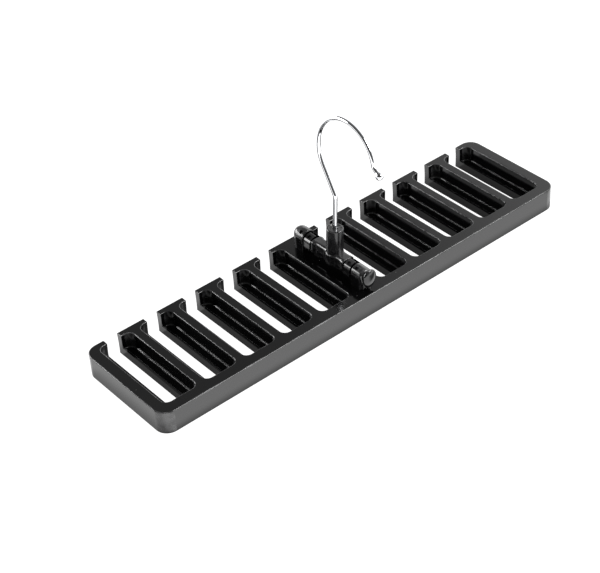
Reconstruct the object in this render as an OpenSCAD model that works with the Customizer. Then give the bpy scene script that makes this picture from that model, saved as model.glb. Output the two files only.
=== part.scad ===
// Tie hanger: a comb rack with ten open slots, a hinge across its middle and a swivel hook.
// The rack lies flat, origin on its underside at the middle, X along the rack, Z up.
// The closed rail is on the -Y side and the slots open on the +Y side.

/* [Rack] */
// Length of the rack
rack_l = 305; // [240:1:400]
// Width of the rack, from the rail to the slot mouths
rack_w = 75; // [60:1:110]
// Thickness of the rack
rack_t = 15; // [13:0.5:22]
// Radius of the four corners in plan
corner_r = 8; // [4:0.5:16]
// Radius of the upper outer edge
edge_r = 0.6; // [0.3:0.1:2.4]
// Radius of the lower outer edge
foot_r = 0.3; // [0.2:0.1:1.2]

/* [Tie slots] */
// Slots on each side of the hinge
slots_per_side = 5; // [2:1:6]
// Width of the wall at each end of the rack
end_wall_w = 7.4; // [5:0.1:12]
// Width of the arm between two slots
arm_w = 5.5; // [4:0.1:8]
// Width of the bridge that carries the hinge
bridge_w = 23.2; // [20:0.1:30]
// Width of the closed rail
rail_w = 7.5; // [5:0.1:12]
// Depth of the lips at the slot mouths
lip_t = 4; // [3:0.1:6]
// Width of the throat, through the floor and between the lips
throat_w = 9.4; // [7:0.1:11]
// Floor left between the rail and the closed end of a throat
throat_setback = 3.5; // [2:0.1:8]
// Radius of a slot's four corners in plan
slot_corner_r = 4.2; // [2:0.1:5]
// Thickness of the floor beside the throat
floor_t = 5; // [3:0.1:8]
// Radius where the floor meets the slot walls
floor_fillet_r = 1.2; // [0.6:0.1:2]
// Height of the rim round the throat
rim_h = 1.9; // [1:0.1:3]
// Width of the rim round the throat
rim_w = 1.6; // [1:0.1:2.4]
// Radius under the throat's edges
under_r = 0.4; // [0.2:0.1:2]

/* [Hinge] */
// Height of the pivot line over the rack's top
pivot_rise = 7.9; // [7:0.1:12]
// Place of the hinge's middle across the rack
hinge_mid_y = -0.75; // [-4:0.05:4]
// Width and barrel diameter of the two posts
post_w = 9; // [7:0.1:10]
// Length of the rear post's barrel, without its dome
rear_post_l = 5.8; // [4:0.1:8]
// Length of the front post
front_post_l = 9; // [7:0.1:12]
// Diameter of the pivot pin
pin_d = 4; // [3:0.1:5]
// Clearance round the pin in what turns on it, on the radius
pin_play = 0.1; // [0.05:0.05:0.3]
// How far the pin runs into the rear post
pin_seat_l = 6; // [3:0.1:8]
// Diameter of the pin's head
head_d = 10.4; // [8:0.1:12]
// Thickness of the pin head's rim
head_rim_t = 1; // [0.6:0.1:2]
// Height of the pin head's dome
head_dome_h = 2.8; // [1.5:0.1:4]
// Gap behind the pin's head
head_gap = 0.3; // [0.2:0.05:0.6]
// Width and barrel diameter of the two clips on the pin
clip_w = 8.9; // [7:0.1:10]
// Length of a clip
clip_l = 6.2; // [4:0.1:8]
// Gap at each end of a clip
clip_gap = 0.5; // [0.2:0.05:0.8]
// Depth of a clip under the pivot line
clip_down = 3.8; // [3.2:0.1:5]
// Width of the mouth by which a clip snaps on the pin
mouth_w = 3.4; // [2.6:0.1:3.8]
// Size of the window pressed into a clip
window_w = 2.2; // [1.5:0.1:3.5]
// Depth of that window
window_depth = 0.8; // [0.4:0.1:1.2]

/* [Swivel block] */
// Length of the block along the pin
block_l = 28.3; // [22:0.1:34]
// Width and barrel diameter of the block's arms
neck_w = 8; // [7:0.1:10]
// Width and barrel diameter of the bands at the block's ends
band_w = 9; // [7.2:0.1:10]
// Length of such a band
band_l = 2; // [1:0.1:4]
// Depth of the block under the pivot line
block_down = 4.2; // [3:0.1:5]
// Diameter of the hub under the collar
hub_d = 11.8; // [9:0.1:13]
// Height of the hub over the pivot line
hub_up = 1.2; // [0.5:0.1:3]
// Place of the collar along the block, from the hinge's middle
collar_y = -2.25; // [-4:0.05:4]
// Diameter of the collar
collar_d = 10.3; // [8:0.1:12]
// Height of the collar's top over the pivot line
collar_up = 19.7; // [15:0.1:26]
// Radius of the collar's upper edge
collar_edge_r = 0.7; // [0.3:0.1:1.2]
// Height over the pivot line at which the stem's chamber ends
chamber_up = 7.6; // [6:0.1:10]
// Diameter of that chamber
chamber_d = 6.4; // [5:0.1:8]
// Lean of the block at rest, in degrees
lean = 4; // [0:1:10]

/* [Hook] */
// Diameter of the hook's wire
wire_d = 2.6; // [2:0.1:3.4]
// Clearance round the stem, on the radius
stem_play = 0.1; // [0.05:0.05:0.3]
// Height of the first bend over the pivot line
bend_up = 41.1; // [32:0.1:50]
// Radius of the first bend
bend_r = 6; // [4:0.1:10]
// Radius of the hook's loop, to the middle of the wire
loop_r = 23.3; // [18:0.1:28]
// Distance of the loop's middle in front of the stem
loop_fore = 8.4; // [4:0.1:12]
// Height of the loop's middle over the pivot line
loop_up = 70.6; // [66:0.1:90]
// Angle over the level at which the loop ends, in degrees
loop_end = 10; // [0:1:30]
// Radius of the outward bend before the tip
tip_bend_r = 3; // [2:0.1:6]
// Turn of that bend, in degrees
tip_turn = 42; // [20:1:60]
// Straight run of wire into the tip
tip_run = 2.4; // [1.5:0.1:5]
// Diameter of the tip's ball
ball_d = 4.8; // [4:0.1:7]
// Diameter of the upset head at the stem's foot
foot_d = 4.6; // [3.6:0.1:5.4]
// Thickness of that head
foot_t = 1.3; // [0.8:0.1:2]
// Outside diameter of the washer over the head
washer_d = 6; // [4.6:0.1:7]
// Thickness of the washer
washer_t = 0.8; // [0.5:0.1:1.2]

/* [Hidden] */
$fn = 96;
half_turn = 180;
// Overrun of every cut past the face it opens
over = 1;
// Clearance of small pieces that sit together, on each side
fit_gap = 0.05;
// The straight runs of wire are drawn thinner than its bends by this on the radius, and run into them
draw_down = 0.02;
run_bite = 0.1;

rear_y = rack_w / 2;
rail_y = -rear_y;
slot_closed_y = rail_y + rail_w;
slot_open_y = rear_y - lip_t;
slot_len = slot_open_y - slot_closed_y;
slot_mid_y = (slot_open_y + slot_closed_y) / 2;
// The slots share what the bridge, the arms and the end walls leave of the length
slot_w = (rack_l / 2 - bridge_w / 2 - (slots_per_side - 1) * arm_w - end_wall_w) / slots_per_side;
slot_pitch = slot_w + arm_w;
first_slot_x = (bridge_w + slot_w) / 2;
throat_end_y = slot_closed_y + throat_setback + throat_w / 2;

pivot_z = rack_t + pivot_rise;
post_r = post_w / 2;
bore_d = pin_d + 2 * pin_play;
// The posts stand one clip and two gaps beyond the block
post_offset = block_l / 2 + clip_l + 2 * clip_gap;
rear_post_y = hinge_mid_y + post_offset;
front_post_y = hinge_mid_y - post_offset;
dome_y = rear_post_y + rear_post_l;
front_face_y = front_post_y - front_post_l;
clip_mid = block_l / 2 + clip_gap + clip_l / 2;
stem_y = hinge_mid_y + collar_y;
// Angles round the pivot at which the clips' windows and mouths face
window_turn = -32;
mouth_turn = 28;

stem_bore_d = wire_d + 2 * stem_play;
washer_top = chamber_up - fit_gap;
foot_top = washer_top - washer_t - fit_gap;
// The straight after the first bend touches the loop, so its lean follows from the loop
reach = norm([loop_fore, loop_up - bend_up]);
straight_deg = atan2(loop_up - bend_up, loop_fore) + asin(loop_r / reach);
straight_len = sqrt(pow(reach, 2) - pow(loop_r, 2));
bend_turn = straight_deg - half_turn / 2;
bend_cut = bend_r * tan(bend_turn / 2);
loop_centre = [loop_fore, loop_up];
loop_exit = loop_centre + loop_r * [cos(loop_end), sin(loop_end)];
// A short straight lies between the loop and the bend before the tip
bend_gap = 0.4;
tip_centre = loop_exit + tip_bend_r * [cos(loop_end), sin(loop_end)]
    + bend_gap * [sin(loop_end), -cos(loop_end)];
tip_heading = loop_end - 90 + tip_turn;
tip_start = tip_centre - tip_bend_r * [cos(loop_end + tip_turn), sin(loop_end + tip_turn)];
ball_centre = tip_start + (tip_run + ball_d / 2) * [cos(tip_heading), sin(tip_heading)];
ball_socket = ball_d / 2;

// Section of a block: w wide, h high, edges rounded by up_r above and down_r below
module edge_section(w, h, up_r, down_r) {
    translate([0, down_r]) square([w / 2, h - up_r - down_r]);
    square([w / 2 - down_r, h]);
    translate([0, h - up_r - up_r]) square([w / 2 - up_r, up_r + up_r]);
    translate([w / 2 - up_r, h - up_r]) circle(up_r);
    translate([w / 2 - down_r, down_r]) circle(down_r);
}

module full_section(w, h, up_r, down_r) {
    edge_section(w, h, up_r, down_r);
    mirror([1, 0]) edge_section(w, h, up_r, down_r);
}

// Block on Z = 0 with round corners in plan and rounded upper and lower edges
module rounded_block(l, w, h, r, up_r, down_r) {
    rotate([90, 0, 90]) linear_extrude(l - 2 * r, center = true) full_section(w, h, up_r, down_r);
    rotate([90, 0, 0]) linear_extrude(w - 2 * r, center = true) full_section(l, h, up_r, down_r);
    for (sx = [-1, 1], sy = [-1, 1])
        translate([sx * (l / 2 - r), sy * (w / 2 - r), 0])
            rotate_extrude() intersection() {
                edge_section(2 * r, h, up_r, down_r);
                square([r, h]);
            }
}

module at_slots() {
    for (side = [-1, 1], i = [0 : slots_per_side - 1])
        translate([side * (first_slot_x + i * slot_pitch), 0, 0]) children();
}

// Space of one slot above its floor
module slot_space() {
    depth = rack_t - floor_t + over;
    translate([0, slot_mid_y, floor_t])
        rounded_block(slot_w, slot_len, depth, slot_corner_r, fit_gap, floor_fillet_r);
}

// Rim that stands on the floor round the throat
module rim() {
    outer_w = throat_w + 2 * rim_w;
    rim_len = slot_open_y + lip_t / 2 - throat_end_y;
    translate([0, throat_end_y, floor_t / 2]) linear_extrude(floor_t / 2 + rim_h) {
        translate([-outer_w / 2, 0]) square([outer_w, rim_len]);
        intersection() {
            circle(outer_w / 2);
            translate([-outer_w / 2, -outer_w / 2]) square([outer_w, outer_w / 2]);
        }
    }
}

// Half section of a throat: straight above, opening by a round at the underside
module throat_half() {
    translate([0, -over]) square([throat_w / 2, rack_t + 2 * over]);
    difference() {
        translate([0, -over]) square([throat_w / 2 + under_r, under_r + over]);
        translate([throat_w / 2 + under_r, under_r]) circle(under_r);
    }
}

// Space of one throat, through the floor and out between the lips
module throat_space() {
    run = rear_y + over - throat_end_y;
    translate([0, throat_end_y + run, 0]) rotate([90, 0, 0]) linear_extrude(run) {
        throat_half();
        mirror([1, 0]) throat_half();
    }
    translate([0, throat_end_y, 0]) rotate([0, 0, half_turn]) rotate_extrude(angle = half_turn) throat_half();
}

// Half round along Y, flat side down, l long from the origin towards +Y
module half_barrel(r, l) {
    rotate([-90, 0, 0]) rotate([0, 0, half_turn]) rotate_extrude(angle = half_turn) square([r, l]);
}

// Rear post: a rounded upright with a barrel top and a domed end
module rear_post() {
    translate([-post_r, rear_post_y, rack_t / 2])
        cube([post_w, rear_post_l, pivot_z - rack_t / 2]);
    translate([0, dome_y, rack_t / 2]) rotate_extrude(angle = half_turn)
        square([post_r, pivot_z - rack_t / 2]);
    translate([0, rear_post_y, pivot_z]) half_barrel(post_r, rear_post_l);
    translate([0, dome_y, pivot_z]) rotate_extrude(angle = half_turn) intersection() {
        circle(post_r);
        square(post_r);
    }
}

// Front post: a plain upright with a barrel top, between the clip and the pin's head
module front_post() {
    translate([-post_r, front_face_y, rack_t / 2])
        cube([post_w, front_post_l, pivot_z - rack_t / 2]);
    translate([0, front_face_y, pivot_z]) half_barrel(post_r, front_post_l);
}

module rack() {
    bore_end_y = rear_post_y + pin_seat_l + fit_gap;
    color("#17181a") difference() {
        union() {
            difference() {
                rounded_block(rack_l, rack_w, rack_t, corner_r, edge_r, foot_r);
                at_slots() slot_space();
            }
            at_slots() rim();
            rear_post();
            front_post();
        }
        at_slots() throat_space();
        translate([0, bore_end_y, pivot_z]) rotate([90, 0, 0])
            cylinder(d = pin_d + 2 * fit_gap, h = bore_end_y - front_face_y + over);
    }
}

// Domed end of the pin's head as a section: flat rim, then a cap of one radius set just inside it
module head_section() {
    cap_w = head_d / 2 - fit_gap;
    cap_r = (pow(cap_w, 2) + pow(head_dome_h, 2)) / (2 * head_dome_h);
    square([head_d / 2, head_rim_t]);
    translate([0, head_rim_t]) intersection() {
        translate([0, head_dome_h - cap_r]) circle(cap_r);
        square([head_d / 2, head_dome_h + over]);
    }
}

// Pin through both posts, the clips and the swivel block, headed at the front
module pivot_pin() {
    shank_l = rear_post_y + pin_seat_l - front_face_y + head_gap;
    color("#1b1c1e") translate([0, front_face_y - head_gap, pivot_z]) {
        rotate([-90, 0, 0]) cylinder(d = pin_d, h = shank_l);
        rotate([90, 0, 0]) rotate_extrude() head_section();
    }
}

// Everything that leans with the block is placed from the pivot line
module on_pivot() {
    translate([0, hinge_mid_y, pivot_z]) rotate([0, lean, 0]) children();
}

// Bar along Y with a barrel top about the pivot line, w wide, its underside down below the line
module barrel_bar(w, l, down) {
    rotate([90, 0, 0]) linear_extrude(l, center = true) {
        circle(d = w);
        translate([-w / 2, foot_r - down]) square([w, down - foot_r]);
        translate([foot_r - w / 2, -down]) square([w - 2 * foot_r, down]);
        for (side = [-1, 1]) translate([side * (w / 2 - foot_r), foot_r - down]) circle(foot_r);
    }
}

// Clip on the pin: a barrel bar with a mouth on its right upper side and a shallow window on its left
module clip() {
    difference() {
        barrel_bar(clip_w, clip_l, clip_down);
        rotate([90, 0, 0]) cylinder(d = bore_d, h = clip_l + 2 * over, center = true);
        rotate([0, mouth_turn, 0]) translate([-mouth_w / 2, -clip_l / 2 - over, 0])
            cube([mouth_w, clip_l + 2 * over, clip_w]);
        rotate([0, window_turn, 0]) translate([0, 0, clip_w / 2 - window_depth + over])
            cube([window_w, window_w, 2 * over], center = true);
    }
}

module front_clip() {
    color("#242527") on_pivot() translate([0, -clip_mid, 0]) clip();
}

module rear_clip() {
    color("#242527") on_pivot() translate([0, clip_mid, 0]) clip();
}

// Collar: an upright barrel with a rounded upper edge, on a wider hub through the whole block
module collar() {
    collar_h = collar_up + block_down;
    translate([0, collar_y, -block_down]) rotate_extrude() {
        square([collar_d / 2 - collar_edge_r, collar_h]);
        square([collar_d / 2, collar_h - collar_edge_r]);
        translate([collar_d / 2 - collar_edge_r, collar_h - collar_edge_r]) circle(collar_edge_r);
        square([hub_d / 2, block_down + hub_up]);
    }
}

// Block that turns on the pin and holds the stem of the hook
module swivel_block() {
    band_mid = (block_l - band_l) / 2;
    color("#1f2022") on_pivot() difference() {
        union() {
            barrel_bar(neck_w, block_l, block_down);
            for (side = [-1, 1]) translate([0, side * band_mid, 0]) barrel_bar(band_w, band_l, block_down);
            collar();
        }
        rotate([90, 0, 0]) cylinder(d = bore_d, h = block_l + 2 * over, center = true);
        translate([0, collar_y, -block_down - over])
            cylinder(d = chamber_d, h = block_down + over + chamber_up);
        translate([0, collar_y, 0]) cylinder(d = stem_bore_d, h = collar_up + over);
    }
}

module stem_washer() {
    color("silver") on_pivot() translate([0, collar_y, washer_top - washer_t]) difference() {
        cylinder(d = washer_d, h = washer_t);
        translate([0, 0, -over]) cylinder(d = wire_d + 2 * fit_gap, h = washer_t + 2 * over);
    }
}

// Stands a shape drawn in the plane of the hook on the stem: x goes to the front, y goes up
module on_hook_plane() {
    on_pivot() translate([0, collar_y, 0]) rotate([0, 0, -90]) rotate([90, 0, 0]) children();
}

// Straight length of wire from a point, heading at an angle in the hook's plane
module wire_run(from, heading, l) {
    translate([from[0], from[1], 0]) rotate([0, 0, heading]) translate([-run_bite, 0, 0])
        rotate([0, 90, 0]) cylinder(d = wire_d - 2 * draw_down, h = l + 2 * run_bite);
}

// Bent length of wire round a centre, from one angle through a turn
module wire_arc(centre, r, start, turn) {
    translate([centre[0], centre[1], 0]) rotate([0, 0, start])
        rotate_extrude(angle = turn) translate([r, 0]) circle(d = wire_d);
}

module hook_wire() {
    $fn = 48;
    straight_dir = [cos(straight_deg), sin(straight_deg)];
    loop_start = straight_deg + 90;
    color("gainsboro") on_hook_plane() {
        wire_run([0, foot_top], 90, bend_up - bend_cut - foot_top);
        translate([0, foot_top, 0]) rotate([90, 0, 0]) cylinder(d = foot_d, h = foot_t);
        wire_arc([-bend_r, bend_up - bend_cut], bend_r, 0, bend_turn);
        wire_run([0, bend_up] + bend_cut * straight_dir, straight_deg, straight_len - bend_cut);
        wire_arc(loop_centre, loop_r, loop_end, loop_start - loop_end);
        wire_run(loop_exit, loop_end - 90, bend_gap);
        wire_arc(tip_centre, tip_bend_r, loop_end + half_turn, tip_turn);
        wire_run(tip_start, tip_heading, tip_run + ball_socket - fit_gap - run_bite);
    }
}

// Ball on the end of the wire, with a blind socket for it
module hook_tip() {
    color("gainsboro") on_hook_plane() difference() {
        translate([ball_centre[0], ball_centre[1], 0]) sphere(d = ball_d);
        translate([tip_start[0], tip_start[1], 0]) rotate([0, 0, tip_heading - 90]) rotate([-90, 0, 0])
            cylinder(d = wire_d + 2 * fit_gap, h = tip_run + ball_socket);
    }
}

rack();
pivot_pin();
front_clip();
rear_clip();
swivel_block();
stem_washer();
hook_wire();
hook_tip();
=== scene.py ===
"""Tie hanger: a moulded comb rack with ten open slots, a hinge across its middle and a plated swivel hook."""

import math

import bmesh
import bpy
from bpy.props import FloatProperty, FloatVectorProperty, IntProperty, PointerProperty
from mathutils import Matrix, Vector


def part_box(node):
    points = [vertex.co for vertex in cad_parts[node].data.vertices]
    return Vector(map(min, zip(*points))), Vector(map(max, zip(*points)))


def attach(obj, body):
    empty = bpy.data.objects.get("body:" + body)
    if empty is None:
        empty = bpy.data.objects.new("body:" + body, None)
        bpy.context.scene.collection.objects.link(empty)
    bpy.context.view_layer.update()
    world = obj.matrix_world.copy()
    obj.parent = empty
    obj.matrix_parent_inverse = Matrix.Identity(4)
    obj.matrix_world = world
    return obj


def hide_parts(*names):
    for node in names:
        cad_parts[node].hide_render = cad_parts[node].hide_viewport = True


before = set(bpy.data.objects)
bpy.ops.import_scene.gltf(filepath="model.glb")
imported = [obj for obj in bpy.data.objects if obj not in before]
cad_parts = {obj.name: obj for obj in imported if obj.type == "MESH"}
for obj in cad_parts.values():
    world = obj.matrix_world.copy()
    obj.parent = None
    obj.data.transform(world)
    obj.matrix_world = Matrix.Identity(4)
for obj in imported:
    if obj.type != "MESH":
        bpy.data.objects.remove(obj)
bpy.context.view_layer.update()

bl_info = {
    "name": "Tie Hanger",
    "version": (1, 0, 0),
    "blender": (4, 5, 0),
    "location": "View3D > Sidebar > Tie Hanger",
    "description": "Models a tie rack with a hinged swivel hook, its finishes and its studio",
    "category": "Object",
}

PIN_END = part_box("pivot_pin")[1].y
MM = 0.001
# Cuts start this far clear of the faces they open, so that no two faces lie in one plane
CLEAR = 0.004 * MM


def length(name, millimetres, description):
    return FloatProperty(
        name=name, description=description, default=millimetres * MM,
        min=0.0, soft_max=0.4, precision=5, unit="LENGTH",
    )


def across(name, millimetres, description):
    return FloatProperty(
        name=name, description=description, default=millimetres * MM,
        precision=5, subtype="DISTANCE", unit="LENGTH",
    )


def tint(name, value, description):
    return FloatVectorProperty(
        name=name, description=description, default=value, size=3, min=0.0, max=1.0, subtype="COLOR",
    )


def share(name, value, description):
    return FloatProperty(name=name, description=description, default=value, min=0.0, max=1.0, subtype="FACTOR")


def strength(name, value, description):
    return FloatProperty(name=name, description=description, default=value, min=0.0)


def angle(name, degrees, description):
    return FloatProperty(
        name=name, description=description, default=math.radians(degrees), subtype="ANGLE", unit="ROTATION"
    )


class RackSizes(bpy.types.PropertyGroup):
    rack_l: length("Length", 305, "Length of the rack")
    rack_w: length("Width", 75, "Width from the rail to the slot mouths")
    rack_t: length("Thickness", 15, "Thickness of the rack")
    corner_r: length("Corner radius", 8, "Radius of the four corners in plan")
    edge_r: length("Upper edge", 0.6, "Radius of the upper outer edge")
    foot_r: length("Lower edge", 0.3, "Radius of the lower outer edge")
    slots_per_side: IntProperty(
        name="Slots a side", description="Slots on each side of the hinge", default=5, min=2, max=6
    )
    slot_w: length("Slot width", 22.3, "Width of a slot above its floor")
    arm_w: length("Arm width", 5.5, "Width of the arm between two slots")
    bridge_w: length("Bridge width", 23.2, "Width of the bridge that carries the hinge")
    rail_w: length("Rail width", 7.5, "Width of the closed rail")
    lip_t: length("Lip depth", 4, "Depth of the lips at the slot mouths")
    throat_w: length("Throat width", 9.4, "Width of the throat between the lips")
    throat_setback: length("Throat setback", 3.5, "Floor between the rail and the throat's closed end")
    slot_corner_r: length("Slot corner", 4.2, "Radius of a slot's corners in plan")
    slot_edge_r: length("Slot edge", 0.55, "Radius of a slot's upper edge")
    floor_t: length("Floor", 5, "Thickness of the floor beside the throat")
    floor_fillet_r: length("Floor fillet", 0.9, "Radius where the floor meets the slot walls")
    rim_h: length("Rim height", 0.6, "Height of the rim round the throat")
    rim_w: length("Rim width", 1.6, "Width of the rim round the throat")
    rim_edge_r: length("Rim edge", 0.3, "Radius of the rim's upper edges")
    lip_edge_r: length("Lip edge", 0.8, "Radius of the lips' upright edges")
    under_r: length("Throat underside", 0.4, "Radius under the throat's edges")


class HingeSizes(bpy.types.PropertyGroup):
    pivot_z: length("Pivot height", 22.9, "Height of the pivot line over the underside")
    hinge_mid_y: across("Hinge middle", -0.75, "Place of the hinge's middle across the rack")
    post_w: length("Post width", 9.3, "Width and barrel diameter of the front post")
    rear_post_w: length("Rear post width", 9.9, "Width of the rear post and its dome")
    rear_post_up: length("Rear post height", 5.7, "Height of the rear post over the pivot line")
    rear_post_l: length("Rear post", 5.9, "Length of the rear post's barrel")
    front_post_l: length("Front post", 9, "Length of the front post")
    post_end_r: length("Front post end", 2.1, "Radius of the front post's outer end")
    post_face_r: length("Post faces", 0.5, "Radius round the posts' inner faces")
    pin_d: length("Pin", 4, "Diameter of the pivot pin")
    head_w: length("Pin head width", 9.8, "Width of the pin's oval head")
    head_up: length("Pin head height", 12.2, "Height of the pin's oval head")
    head_gap: length("Pin head gap", 0.3, "Gap between the front post and the pin's head")
    head_l: length("Pin head length", 4.0, "How far the head stands out")
    clip_w: length("Clip width", 9.5, "Width and barrel diameter of the clips")
    clip_l: length("Clip length", 5.2, "Length of a clip")
    clip_gap: length("Clip gap", 1.0, "Gap at each end of a clip")
    clip_down: length("Clip depth", 3.8, "Depth of a clip under the pivot line")
    mouth_w: length("Clip mouth", 3.4, "Width of a clip's mouth")
    mouth_turn: angle("Mouth turn", 28, "Turn of a clip's mouth from the top")
    clip_edge_r: length("Clip edges", 0.4, "Radius of a clip's edges")
    window_w: length("Window", 2.2, "Size of the windows in the clips and posts")
    window_depth: length("Window depth", 0.8, "Depth of that window")
    post_window_y: length("Post window", 24.6, "Distance of the posts' windows from the hinge's middle")
    window_turn: angle("Window turn", -32, "Turn of a window from the top")
    block_l: length("Block length", 28.3, "Length of the swivel block along the pin")
    block_up: length("Block height", 4.1, "Height of the block over the pivot line")
    block_down: length("Block depth", 4.2, "Depth of the block under the pivot line")
    collar_y: across("Collar place", -2.25, "Place of the collar along the block")
    block_end_w: length("Block end", 8.8, "Width of the block at its ends")
    collar_d: length("Collar", 10.3, "Diameter of the collar")
    collar_up: length("Collar height", 19.7, "Height of the collar's top over the pivot line")
    lean: angle("Lean", 4, "Lean of the block at rest")


class HookSizes(bpy.types.PropertyGroup):
    wire_d: length("Wire", 2.6, "Diameter of the hook's wire")
    foot_up: length("Foot height", 6.7, "Height of the wire's foot over the pivot line")
    bend_up: length("Bend height", 41.1, "Height of the first bend over the pivot line")
    bend_r: length("Bend radius", 6, "Radius of the first bend")
    loop_r: length("Loop radius", 23.3, "Radius of the hook's loop")
    loop_fore: length("Loop forward", 8.4, "Distance of the loop's middle in front of the stem")
    loop_up: length("Loop height", 70.6, "Height of the loop's middle over the pivot line")
    loop_end: angle("Loop end", 14, "Angle over the level at which the loop ends")
    tip_bend_r: length("Tip bend", 3, "Radius of the bend before the tip")
    tip_turn: angle("Tip turn", 42, "Turn of the bend before the tip")
    tip_run: length("Tip run", 2.3, "Straight wire before the tip")
    ball_d: length("Tip ball", 4.8, "Diameter of the tip's ball")


class Finishes(bpy.types.PropertyGroup):
    plastic: tint("Plastic", (0.0016, 0.0016, 0.0018), "Colour of the moulded plastic")
    # Light colour on rounded edges: rubbed wear and a painted edge highlight
    plastic_rub_and_highlight: tint("Rubbed plastic", (0.10, 0.10, 0.102), "Colour of the plastic's rubbed edges")
    dust: tint("Dust", (0.09, 0.088, 0.085), "Colour of the dust that settles on it")
    chrome: tint("Plating", (0.83, 0.84, 0.86), "Colour of the plated wire")
    gloss: share("Plastic roughness", 0.11, "Roughness of the moulded plastic")
    floor: tint("Floor", (0.10, 0.10, 0.10), "Colour of the studio floor")


class StudioLight(bpy.types.PropertyGroup):
    key: strength("Key light", 40.0, "Power of the rear left softbox")
    fill: strength("Fill light", 34.0, "Power of the front right softbox")
    sky: strength("Sky", 1.77, "Strength of the room's light on the right")
    sky_left: share("Left sky", 0.165, "Share of that light left elsewhere")
    sky_rear: share("Far left sky", 0.3, "Share of the left sky's light left past the middle")
    # The floor's glow is painted light seen in reflections; the shares below paint shade at the rear, in a belt round
    # the rack and a shadow under it
    floor_glow: strength("Floor glow", 2.2, "Light that the floor gives off in front of the rack")
    floor_painted_rear_shade: share("Rear floor", 0.6, "Share of that light left at the rack's end and rear")
    floor_painted_belt_shade: share("Floor belt", 0.08, "Share of that light left in the dim belt round the rack")
    floor_beyond: strength("Floor beyond", 1.1, "Share of that light left beyond the dim belt")
    floor_painted_shadow: share("Floor under", 0.35, "Share of that light left under the rack")


# Modelling helpers


def deselect():
    """Leaves edit mode and selects nothing."""
    active = bpy.context.view_layer.objects.active
    if active is not None and active.mode != "OBJECT":
        bpy.ops.object.mode_set(mode="OBJECT")
    bpy.ops.object.select_all(action="DESELECT")


def only(piece):
    deselect()
    piece.select_set(True)
    bpy.context.view_layer.objects.active = piece


def edit(piece):
    only(piece)
    bpy.ops.object.mode_set(mode="EDIT")


def leave():
    bpy.ops.object.mode_set(mode="OBJECT")


def pick(piece, kind, test):
    """In edit mode, selects the vertices, edges or faces that pass the test."""
    bpy.ops.mesh.select_mode(type=kind)
    bpy.ops.mesh.select_all(action="DESELECT")
    form = bmesh.from_edit_mesh(piece.data)
    parts = {"VERT": form.verts, "EDGE": form.edges, "FACE": form.faces}[kind]
    found = 0
    for part in parts:
        if test(part):
            part.select_set(True)
            found += 1
    bmesh.update_edit_mesh(piece.data)
    if not found:
        raise RuntimeError("nothing to shape on " + piece.name)
    return found


def middle(part):
    total = Vector((0, 0, 0))
    for vertex in part.verts:
        total += vertex.co
    return total / len(part.verts)


def runs_along(edge, axis):
    way = edge.verts[1].co - edge.verts[0].co
    return way.length > 1e-7 and abs(way[axis]) > 0.999 * way.length


def lies_at(edge, axis, level):
    return all(abs(vertex.co[axis] - level) < 1e-6 for vertex in edge.verts)


def push_out(x=0.0, y=0.0, z=0.0):
    """Extrudes what is selected along a vector."""
    bpy.ops.mesh.extrude_region_move(TRANSFORM_OT_translate={"value": (x, y, z)})


def widen(wide, centre, tall=1.0, deep=1.0):
    """Resizes what is selected about a point."""
    bpy.ops.transform.resize(value=(wide, deep, tall), center_override=centre)


def select_all_of(piece):
    edit(piece)
    bpy.ops.mesh.select_mode(type="VERT")
    bpy.ops.mesh.select_all(action="SELECT")


def settle():
    """Puts the active object's place, turn and size in its mesh."""
    bpy.ops.object.transform_apply(location=True, rotation=True, scale=True)


def block(name, low, high):
    """A box from its lowest to its highest corner, its place in its mesh."""
    deselect()
    low, high = Vector(low), Vector(high)
    bpy.ops.mesh.primitive_cube_add(size=1, location=(low + high) / 2, scale=high - low)
    piece = bpy.context.object
    piece.name = piece.data.name = name
    settle()
    return piece


def bar(name, radius, centre, depth, axis="Z", sides=64):
    """A round bar about an axis, its place in its mesh."""
    deselect()
    turn = {"X": (0, math.pi / 2, 0), "Y": (math.pi / 2, 0, 0), "Z": (0, 0, 0)}[axis]
    bpy.ops.mesh.primitive_cylinder_add(vertices=sides, radius=radius, depth=depth, location=centre, rotation=turn)
    piece = bpy.context.object
    piece.name = piece.data.name = name
    settle()
    return piece


def round_edges(piece, offset, segments, test):
    """Bevels the edges that pass the test."""
    edit(piece)
    pick(piece, "EDGE", test)
    bpy.ops.mesh.bevel(
        offset=offset, offset_type="OFFSET", segments=segments, profile=0.5, affect="EDGES", clamp_overlap=False
    )
    leave()


def full_round(piece, radius, segments, test):
    """Bevels edges by half the piece's width, so that the rounds meet, and merges where they do."""
    round_edges(piece, radius - 1e-7, segments, test)
    select_all_of(piece)
    bpy.ops.mesh.remove_doubles(threshold=2e-6)
    leave()


def carve(piece, tool, how="DIFFERENCE"):
    """Cuts a tool from a piece or joins it on, and removes the tool."""
    only(piece)
    bpy.ops.object.modifier_add(type="BOOLEAN")
    step = piece.modifiers[-1]
    step.object = tool
    step.operation = how
    step.solver = "EXACT"
    bpy.ops.object.modifier_apply(modifier=step.name)
    bpy.data.objects.remove(tool, do_unlink=True)
    select_all_of(piece)
    bpy.ops.mesh.dissolve_degenerate(threshold=1e-7)
    leave()


def copies(piece, moves):
    """Copies a tool to each of the moves and joins the copies into one object."""
    made = []
    for move in moves:
        twin = piece.copy()
        twin.data = piece.data.copy()
        bpy.context.scene.collection.objects.link(twin)
        twin.data.transform(Matrix.Translation(move))
        made.append(twin)
    bpy.data.objects.remove(piece, do_unlink=True)
    deselect()
    for twin in made:
        twin.select_set(True)
    bpy.context.view_layer.objects.active = made[0]
    bpy.ops.object.join()
    return bpy.context.object


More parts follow.
